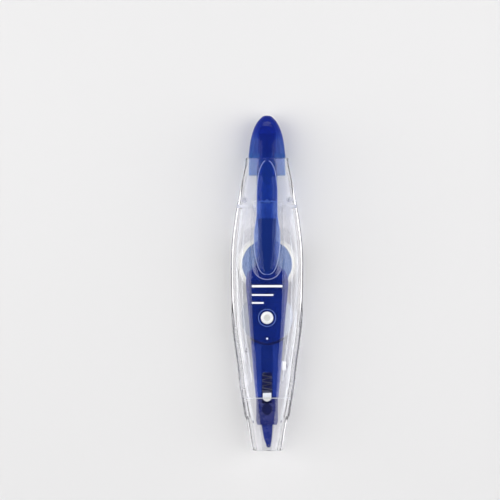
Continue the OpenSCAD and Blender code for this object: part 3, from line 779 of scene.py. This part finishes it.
cap, first_inner = cap_mesh()
put(cap, "cap", "cap", "blue_cap", "knock_cap")
cap.data.materials.append(M["capin"])
for f in cap.data.polygons:
    if min(f.vertices) >= first_inner:
        f.material_index = 1

def turned_y(name, prof, cx, cz, n=64):
    """Closed profile of (radius, y) turned about a line along Y."""
    verts, faces = [], []
    m = len(prof)
    for r, y in prof:
        for j in range(n):
            a = 2 * math.pi * j / n
            verts.append((cx + r * math.cos(a), y, cz + r * math.sin(a)))
    for i in range(m):
        for j in range(n):
            faces.append((i * n + j, i * n + (j + 1) % n, ((i + 1) % m) * n + (j + 1) % n, ((i + 1) % m) * n + j))
    return add(name, verts, faces)


stem = turned_y("cap_stem", [(2.74, 46.0), (3.12, 46.0), (3.2, 46.1), (3.2, 52.0), (2.95, 53.6), (2.45, 55.2), (1.8, 56.3), (1.0, 57.0), (0.02, 57.15), (0.02, 53.05), (2.74, 53.0)], 0, ZP - 0.1)
put(stem, "stem", "cap", "blue_cap")

# ---------------------------------------------------------------- clip
LEAF = [(43.2, 0.25), (43.0, 0.8), (42.6, 1.4), (41, 2.3), (39.3, 2.9), (35.4, 3.5), (32.7, 3.72), (27, 3.75),
        (24, 3.8), (21.5, 4.1), (19, 4.5), (17, 4.68), (14, 4.68), (11.5, 4.5), (8, 3.95), (5.5, 3.2), (4.2, 2.5), (3.4, 1.7), (3.1, 1.0), (3.0, 0.3)]
CORE = [(22.8, 3.0), (22.5, 3.25), (20, 3.2), (17, 3.0), (14, 2.75), (9, 2.15), (6, 1.75), (4.6, 1.4), (4.0, 0.9), (3.8, 0.3)]


def outline(L, n=140):
    """Smooth half-width table of a leaf, top to bottom."""
    T = sorted([(y, w) for y, w in L])
    ys = [T[0][0] + (T[-1][0] - T[0][0]) * (0.5 - 0.5 * math.cos(math.pi * i / n)) for i in range(n + 1)]
    out = []
    for y in ys:
        i = 0
        while i < len(T) - 2 and y >= T[i + 1][0]:
            i += 1
        h = T[i + 1][0] - T[i][0]
        t = (y - T[i][0]) / h

        def s(k):
            if k <= 0 or k >= len(T) - 1:
                k = min(max(k, 0), len(T) - 1)
                a, b = (0, 1) if k == 0 else (k - 1, k)
                return (T[b][1] - T[a][1]) / (T[b][0] - T[a][0])
            a = (T[k][1] - T[k - 1][1]) / (T[k][0] - T[k - 1][0])
            b = (T[k + 1][1] - T[k][1]) / (T[k + 1][0] - T[k][0])
            return 0 if a * b <= 0 else 2 * a * b / (a + b)
        w = ((1 - t) ** 2 * (1 + 2 * t) * T[i][1] + t * t * (3 - 2 * t) * T[i + 1][1]
             + h * t * (1 - t) ** 2 * s(i) - h * t * t * (1 - t) * s(i + 1))
        out.append((y, max(0.02, w)))
    return out


def plate_from(name, rows, bottom, top, r=0.35, across=24, crown=0.15, follow=False, power=2.0):
    """Closed plate over a symmetric outline: crowned top, rounded edges."""
    # profile across: u from -1 to 1 on the top, then back along the bottom
    verts = []
    per = 0
    for y, w in rows:
        ring = []
        rr = min(r, w * 0.9)
        tz = top(y)
        bz = bottom(y)
        for i in range(across + 1):
            u = -1 + 2 * i / across
            x = u * (w - rr)
            cr = crown(y) if callable(crown) else crown
            ring.append((x, y, tz - cr * abs(x / max(w, 0.1)) ** power))
        z1 = ring[-1][2]
        drop = tz - z1 if follow else 0
        bz -= drop
        h = min(rr, (z1 - bz) / 2 - 0.01)
        for a in (22.5, 45, 67.5, 90):
            ring.append((w - rr + rr * math.sin(math.radians(a)), y, z1 - h + h * math.cos(math.radians(a))))
        for a in (90, 67.5, 45, 22.5, 0):
            ring.append((w - rr + rr * math.sin(math.radians(a)), y, bz + h - h * math.cos(math.radians(a))))
        for i in range(1, across):
            u = 1 - 2 * i / across
            ring.append((u * (w - rr), y, bz + drop - drop * abs(u) ** power))
        for a in (0, 22.5, 45, 67.5, 90):
            ring.append((-(w - rr) - rr * math.sin(math.radians(a)), y, bz + h - h * math.cos(math.radians(a))))
        for a in (90, 67.5, 45, 22.5):
            ring.append((-(w - rr) - rr * math.sin(math.radians(a)), y, z1 - h + h * math.cos(math.radians(a))))
        per = len(ring)
        verts += ring
    faces = []
    n = len(rows)
    for i in range(n - 1):
        for j in range(per):
            faces.append((i * per + j, i * per + (j + 1) % per, (i + 1) * per + (j + 1) % per, (i + 1) * per + j))
    faces.append(tuple(range(per)))
    faces.append(tuple((n - 1) * per + j for j in range(per)))
    return add(name, verts, faces, True, 40)


def clip_top(y):
    return 16.0 - 0.9 * ramp(36, 43.6, y) - 0.45 * (1 - ramp(1.5, 7, y))


def clip_crown(y):
    return 0.45 + 0.55 * (1 - ramp(17, 24, y)) * ramp(2, 6, y)


clip = plate_from("clip_leaf", outline(LEAF), lambda y: clip_top(y) - 1.05, clip_top, 0.42, 28, clip_crown, True, 3.0)
put(clip, "clip", "pocket_clip", "blue_cap", "clip")
def bead(name, pts, r, n=8):
    """Round cord through the points, closed at both ends."""
    verts, faces = [], []
    P = [Vector(q) for q in pts]
    k = len(P)
    for i in range(k):
        t = (P[min(i + 1, k - 1)] - P[max(i - 1, 0)]).normalized()
        u = t.cross(Vector((0, 0, 1))).normalized()
        w = t.cross(u).normalized()
        for j in range(n):
            a = 2 * math.pi * j / n
            verts.append(tuple(P[i] + (u * math.cos(a) + w * math.sin(a)) * r))
    for i in range(k - 1):
        for j in range(n):
            faces.append((i * n + j, i * n + (j + 1) % n, (i + 1) * n + (j + 1) % n, (i + 1) * n + j))
    faces += [tuple(range(n)), tuple((k - 1) * n + j for j in range(n))]
    return add(name, verts, faces, True, 60)


# painted highlight: a pale cord along the clip's long edges stands in for the highlight on its rounded rim
rows = [(y, w) for y, w in outline(LEAF) if w > 0.7]
side = lambda s: [(s * (w - 0.12), y, clip_top(y) - clip_crown(y) * max(0, (w - 0.42) / w) ** 3.0 - 0.24) for y, w in rows]
clip_glint_cord = bead("clip_highlight_cord", side(-1)[::-1] + side(1), 0.15)
put(clip_glint_cord, "clip_glint", "pocket_clip", "blue_cap")
core = plate_from("clip_core", outline(CORE, 60), lambda y: 13.75, lambda y: clip_top(y) - 1.42, 0.2, 10, 0.02)
put(core, "core", "pocket_clip", "blue_cap")
ROOT = [(34.4, 0.4), (34.8, 1.0), (36.2, 1.6), (38, 1.82), (40.5, 1.75), (42.0, 1.3), (42.5, 0.7), (42.7, 0.3)]
foot = plate_from("clip_root", outline(ROOT, 50), lambda y: 13.5 + 1.15 * (1 - ramp(34.4, 37.2, y)) + 0.75 * ramp(40.4, 42.7, y), lambda y: clip_top(y) - 0.75, 0.3, 10, 0.02)
put(foot, "tube", "pocket_clip", "blue_cap")
pin = prism("clip_pin", circle(38.4, 13.9, 0.6, 24), -2.85, 2.85, "y")
for v in pin.data.vertices:
    x, y, z = v.co
    v.co = (y, x, z)
finish_mesh(pin)
put(pin, "spine", "pocket_clip", "blue_cap")
nub = lathe("clip_nub", [(0, 13.37), (0.5, 13.4), (0.85, 13.55), (1.0, 13.85), (1.05, 14.4), (0, 14.4)], 0, 5, 32)
put(nub, "spine", "pocket_clip", "blue_cap")

# ---------------------------------------------------------------- spine of the carriage
COVER = [(19.6, 2.6), (19.4, 2.9), (18.6, 3.1), (12, 3.1), (8.5, 3.2), (6.6, 3.8), (5.0, 5.2), (3.6, 6.6), (2.4, 7.2), (0, 7.4), (-2.6, 7.3),
         (-7.9, 6.8), (-12.2, 6.4), (-16.8, 6.0), (-22.1, 5.55), (-27.4, 5.05), (-32.7, 4.65), (-38.8, 4.1), (-40.5, 3.95)]
TY = -12.34
cover = plate_from("spine_cover", outline(COVER, 160), lambda y: 10.98, lambda y: 11.75, 0.25, 24, 0.02)
boolean(cover, rod("t", 0, TY, 11.0, 12.15, 3.2, 64), "UNION")
boolean(cover, rod("t", 0, TY, 10, 14, 2.3, 64), "DIFFERENCE")
boolean(cover, rod("t", 0, -19.72, 11.0, 12.0, 1.8, 48), "UNION")
boolean(cover, rod("t", 0, -19.72, 11.6, 14, 1.25, 48), "DIFFERENCE")
boolean(cover, prism("t", [(-1.75, -43), (1.75, -43), (1.75, -32.4)] + circle(1.05, -32.4, 0.7, 8, 0, 90)[1:] + circle(-1.05, -32.4, 0.7, 8, 90, 180) + [(-1.75, -32.4)], 10, 14), "DIFFERENCE")
finish_mesh(cover, True, 38)
put(cover, "spine", "carriage", "blue_spine", "carriage_cover")
# painted highlight: a white dot on the pin in the small boss, in the white print material
pin_glint = lathe("pin_glint_dot", [(0, 11.62), (0.34, 11.62), (0.36, 11.8), (0.22, 11.98), (0, 12.02)], 0, -19.72, 24)
put(pin_glint, "print_and_glint", "carriage", "blue_spine")

# painted highlight: a pale cord round the edge of the boss about the take-up axle stands in for the light caught on
# that edge
boss_glint_cord = bead("boss_highlight_cord", [(3.05 * math.cos(a), TY + 3.05 * math.sin(a), 12.1) for a in np.linspace(0, 2 * math.pi * 0.997, 97)], 0.11)
put(boss_glint_cord, "boss_glint", "carriage", "blue_spine")
# painted shade: a dark strip across the cover where the reel's bulge ends stands in for the shadow at a step there;
# and the bed under the spring
def arc_piece(name, cx, cy, r0, r1, a0, a1, z0, z1, n=40):
    return prism(name, circle(cx, cy, r1, n, a0, a1) + circle(cx, cy, r0, n, a0, a1)[::-1], z0, z1)


step = arc_piece("cover_step_shade", 0, TY, 8.8, 9.6, 231, 309, 11.5, 11.9)
bevel(step, 0.08, 2)
put(step, "dark", "carriage", "blue_spine")
bed = block("spring_bed", -2.05, 2.05, -42.4, -22.7, 2.52, 3.3)
bevel(bed, 0.15, 2)
put(bed, "bed", "carriage", "blue_spine")
tunnel = prism("spring_tunnel", [(-1.95, 10.62), (1.95, 10.62), (1.95, 10.8), (1.6, 10.95), (-1.6, 10.95), (-1.95, 10.8)], -31.7, -21.9, "y")
finish_mesh(tunnel, False)
put(tunnel, "dark", "carriage", "blue_spine")
nib = prism("guide_head", [(4.9, -30.9), (6.6, -30.9), (6.6, -27.8), (4.9, -27.8)], 10.12, 10.72)
bevel(nib, 0.2, 3)
put(nib, "white", "carriage", "natural")

# ---------------------------------------------------------------- white hub
hub = lathe("hub_disc", [(1.12, 10.12), (2.2, 10.12), (2.2, 11.9), (2.14, 12.08), (1.98, 12.19), (1.8, 12.22),
                         (1.35, 12.18), (1.2, 12.05), (1.12, 11.9)], 0, TY, 72)
seat = lathe("hub_seat", [(0, 10.3), (1.1, 10.3), (1.1, 11.86), (1.0, 11.96), (0.5, 12.02), (0, 12.02)], 0, TY, 48)
boolean(seat, block("t", -0.16, 0.16, TY - 0.85, TY + 0.85, 11.7, 13), "DIFFERENCE")
boolean(seat, block("t", -0.85, 0.85, TY - 0.16, TY + 0.16, 11.7, 13), "DIFFERENCE")
finish_mesh(seat)
put(seat, "seat", "takeup", "hub_white")
put(hub, "white", "takeup", "hub_white", "hub_cap")


# ---------------------------------------------------------------- return spring
def spring():
    turns, y0, y1, R, r, cz = 8.5, -38.85, -22.65, 1.85, 0.2, 8.5
    e = 0.9
    a, b = y0 + r + 0.02, y1 - r - 0.02
    g = 2 * r + 0.03

    def yy(t):
        if t < e:
            return a + g * t / e
        if t > turns - e:
            return b - g * (turns - t) / e
        return a + g + (b - a - 2 * g) * (t - e) / (turns - 2 * e)
    n, m = int(turns * 28), 10
    verts = []
    for i in range(n + 1):
        t = turns * i / n
        an = 2 * math.pi * t
        for j in range(m):
            bb = 2 * math.pi * j / m
            rr = R + r * math.cos(bb)
            verts.append((rr * math.cos(an), yy(t) + r * math.sin(bb), cz + rr * math.sin(an)))
    faces = [(i * m + j, i * m + (j + 1) % m, (i + 1) * m + (j + 1) % m, (i + 1) * m + j) for i in range(n) for j in range(m)]
    faces.append(tuple(range(m)))
    faces.append(tuple(n * m + j for j in range(m)))
    return add("return_coil", verts, faces, True, 60)


coil = spring()
put(coil, "steel", "housing", "steel", "return_spring")
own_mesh(coil)

# ---------------------------------------------------------------- head block with its oval recess
hb = prism("head_cheek", [(-3.75, -40.5), (-1.75, -40.5), (-1.75, -42.6), (1.75, -42.6), (1.75, -40.5), (3.75, -40.5), (3.75, -48.8), (3.35, -50.2), (-3.35, -50.2), (-3.75, -48.8)], 10.2, 11.2)
oval = prism("t", [(1.75 * math.cos(a), -44.5 - 0.2 + 2.1 * math.sin(a)) for a in np.linspace(0, 2 * math.pi, 48, endpoint=False)], 10.7, 12)
boolean(hb, oval, "DIFFERENCE")
boolean(hb, block("t", -1.55, 1.55, -50.2, -42.7, 4.7, 10.4), "UNION")
boolean(hb, prism("t", [(-3.65, -40.5), (3.65, -40.5), (3.65, -47.5), (3.3, -50.2), (-3.3, -50.2), (-3.65, -47.5)], 3.62, 4.8), "UNION")
bevel(hb, 0.18, 3, 35)
put(hb, "cheek", "carriage", "blue_dark", "head_block")
# painted shade: a darker disc on the floor of the oval recess
recess_shade = prism("head_recess_shade", [(1.7 * math.cos(a), -44.7 + 2.05 * math.sin(a)) for a in np.linspace(0, 2 * math.pi, 48, endpoint=False)], 10.6, 10.74)
finish_mesh(recess_shade)
put(recess_shade, "dark", "carriage", "blue_dark")

# ---------------------------------------------------------------- CAD pieces that keep their shape
for node, mat in {
    "lock_sleeve": "inner", "push_tube": "tube", "cam_rotor": "tube", "carriage_frame": "frame",
    "tape_head": "head", "roller_pin": "steel", "tip_roller": "natural", "tape_feed": "tape",
    "film_return": "film", "supply_gear": "light", "clutch_ring": "rubber", "supply_core": "light",
    "idler_gear": "natural", "takeup_reel": "natural",
    "takeup_flange": "inner", "used_film_roll": "film"}.items():
    paint(node, mat)

# painted shade: upright faces of the clear frame get a greyer material, as light leaves through them sideways
fr = N["carriage_frame"].data
fr.materials.append(M["frame_side_shade"])
for f in fr.polygons:
    if abs(f.normal.z) < 0.3 and f.center.z > 4.5 * MM:
        f.material_index = 1

# front flange of the supply reel: pale blue disc inside a white toothed rim
disc = lathe("supply_disc", [(4.05, 10.1), (8.62, 10.1), (8.7, 10.16), (8.7, 10.62), (8.62, 10.7), (4.05, 10.7)], 0, 6.66, 128)
put(disc, "light", "supply_reel", "blue_light", "supply_flange")
TEETH = 54
tooth = []
for i in range(TEETH):
    for f, r in ((0.0, 9.42), (0.12, 9.62), (0.3, 9.7), (0.5, 9.7), (0.68, 9.62), (0.8, 9.42)):
        a = 2 * math.pi * (i + f) / TEETH
        tooth.append((r * math.cos(a), 6.66 + r * math.sin(a)))
rim_ring = prism("supply_rim", tooth, 10.1, 10.58)
boolean(rim_ring, rod("t", 0, 6.66, 9, 12, 8.68, 128), "DIFFERENCE")
finish_mesh(rim_ring, True, 40)
put(rim_ring, "cream", "supply_reel", "blue_light")

# roll of tape: closed ring with rounded edges and wound sides
SY = 6.66
M["roll"] = layers("tape_roll_layers", (0.66, 0.66, 0.65), (0.50, 0.50, 0.52), 0.0, SY * MM, 0.00042)
roll = lathe("tape_winding", [(4.82, 5.05), (4.9, 5.0), (10.1, 5.0), (10.22, 5.03), (10.28, 5.12), (10.28, 9.88), (10.22, 9.97), (10.1, 10.0), (4.9, 10.0), (4.82, 9.95)], 0, SY, 160)
put(roll, "roll", "supply_reel", "tape_white", "tape_roll")


# ---------------------------------------------------------------- plain printed mark on the front
def print_bar(name, x0, x1, y0, y1):
    nx, ny = 24, 4
    verts, faces = [], []
    for k, dz in ((0, 0.012), (1, 0.035)):
        for i in range(nx + 1):
            for j in range(ny + 1):
                x = x0 + (x1 - x0) * i / nx
                y = y0 + (y1 - y0) * j / ny
                verts.append((x, y, out_z(x, y) + dz))
    q = (nx + 1) * (ny + 1)
    ix = lambda i, j, k: k * q + i * (ny + 1) + j
    for i in range(nx):
        for j in range(ny):
            faces.append((ix(i, j, 1), ix(i + 1, j, 1), ix(i + 1, j + 1, 1), ix(i, j + 1, 1)))
            faces.append((ix(i, j, 0), ix(i, j + 1, 0), ix(i + 1, j + 1, 0), ix(i + 1, j, 0)))
    for i in range(nx):
        faces.append((ix(i, 0, 0), ix(i + 1, 0, 0), ix(i + 1, 0, 1), ix(i, 0, 1)))
        faces.append((ix(i, ny, 1), ix(i + 1, ny, 1), ix(i + 1, ny, 0), ix(i, ny, 0)))
    for j in range(ny):
        faces.append((ix(0, j, 1), ix(0, j + 1, 1), ix(0, j + 1, 0), ix(0, j, 0)))
        faces.append((ix(nx, j, 0), ix(nx, j + 1, 0), ix(nx, j + 1, 1), ix(nx, j, 1)))
    ob = add(name, verts, faces, False)
    return put(ob, "print_and_glint", "housing", "clear_shell")


print_bar("print_bar_a", -5.4, 5.4, -1.55, -0.75)
print_bar("print_bar_b", -5.4, 2.2, -4.55, -3.95)
print_bar("print_bar_c", -5.4, -1.2, -7.35, -6.75)

# ---------------------------------------------------------------- floor, light, camera
fm, nt, out = nodes_of("studio_floor")
p = nt.nodes.new("ShaderNodeBsdfPrincipled")
v = coords(nt)
nt.links.new(mixcol(nt, noise(nt, v, 6, 3), (0.74, 0.74, 0.75), (0.77, 0.77, 0.78)), p.inputs["Base Color"])
p.inputs["Roughness"].default_value = 0.7
nt.links.new(bumpy(nt, noise(nt, v, 300, 3), 0.05, 0.0003), p.inputs["Normal"])
nt.links.new(p.outputs[0], out.inputs[0])
fl = add("studio_floor", [(-3000, -3000, 0), (3000, -3000, 0), (3000, 3000, 0), (-3000, 3000, 0)], [(0, 1, 2, 3)], False)
fl.data.materials.append(fm)
fl.location.z = -0.00005

w = bpy.data.worlds.new("studio")
w.use_nodes = True
bg = w.node_tree.nodes["Background"]
wn = w.node_tree
wt = wn.nodes.new("ShaderNodeTexCoord")
ws = wn.nodes.new("ShaderNodeSeparateXYZ")
wn.links.new(wt.outputs["Generated"], ws.inputs[0])
wn.links.new(remap(wn, ws.outputs["Z"], 0.15, 0.85, 0.42, 0.05), bg.inputs[1])
bg.inputs[0].default_value = (0.97, 0.98, 1.0, 1)
sc.world = w


def area(name, loc, target, size, power, size_y=None, col=(1, 1, 1)):
    d = bpy.data.lights.new(name, "AREA")
    d.energy = power
    d.color = col
    d.shape = "RECTANGLE"
    d.size = size
    d.size_y = size_y or size
    o = bpy.data.objects.new(name, d)
    o.location = loc
    o.rotation_euler = (Vector(target) - Vector(loc)).to_track_quat("-Z", "Y").to_euler()
    sc.collection.objects.link(o)


area("key_left", (-0.63, 0.02, 0.53), (0, 0, 0), 0.64, 6.6, 1.3, (1.0, 0.99, 0.97))
area("key_right", (0.61, 0.02, 0.49), (0, 0, 0), 0.56, 6.0, 1.3, (1.0, 0.99, 0.98))
area("top", (0.0, 0.66, 0.60), (0, 0, 0), 0.5, 1.6, 0.25)

cam = bpy.data.cameras.new("camera")
cam.sensor_width = 36
DIST = 1.2
cam.lens = 36 * DIST / (500 * 0.355 * MM)
cam.clip_start = 0.01
co = bpy.data.objects.new("camera", cam)
co.location = (-6.04 * MM, 11.63 * MM, DIST + 7.5 * MM)
sc.collection.objects.link(co)
sc.camera = co

sc.view_settings.view_transform = "Standard"
sc.cycles.max_bounces = 24
sc.cycles.transmission_bounces = 20
sc.cycles.transparent_max_bounces = 32
sc.cycles.glossy_bounces = 6
sc.cycles.diffuse_bounces = 4
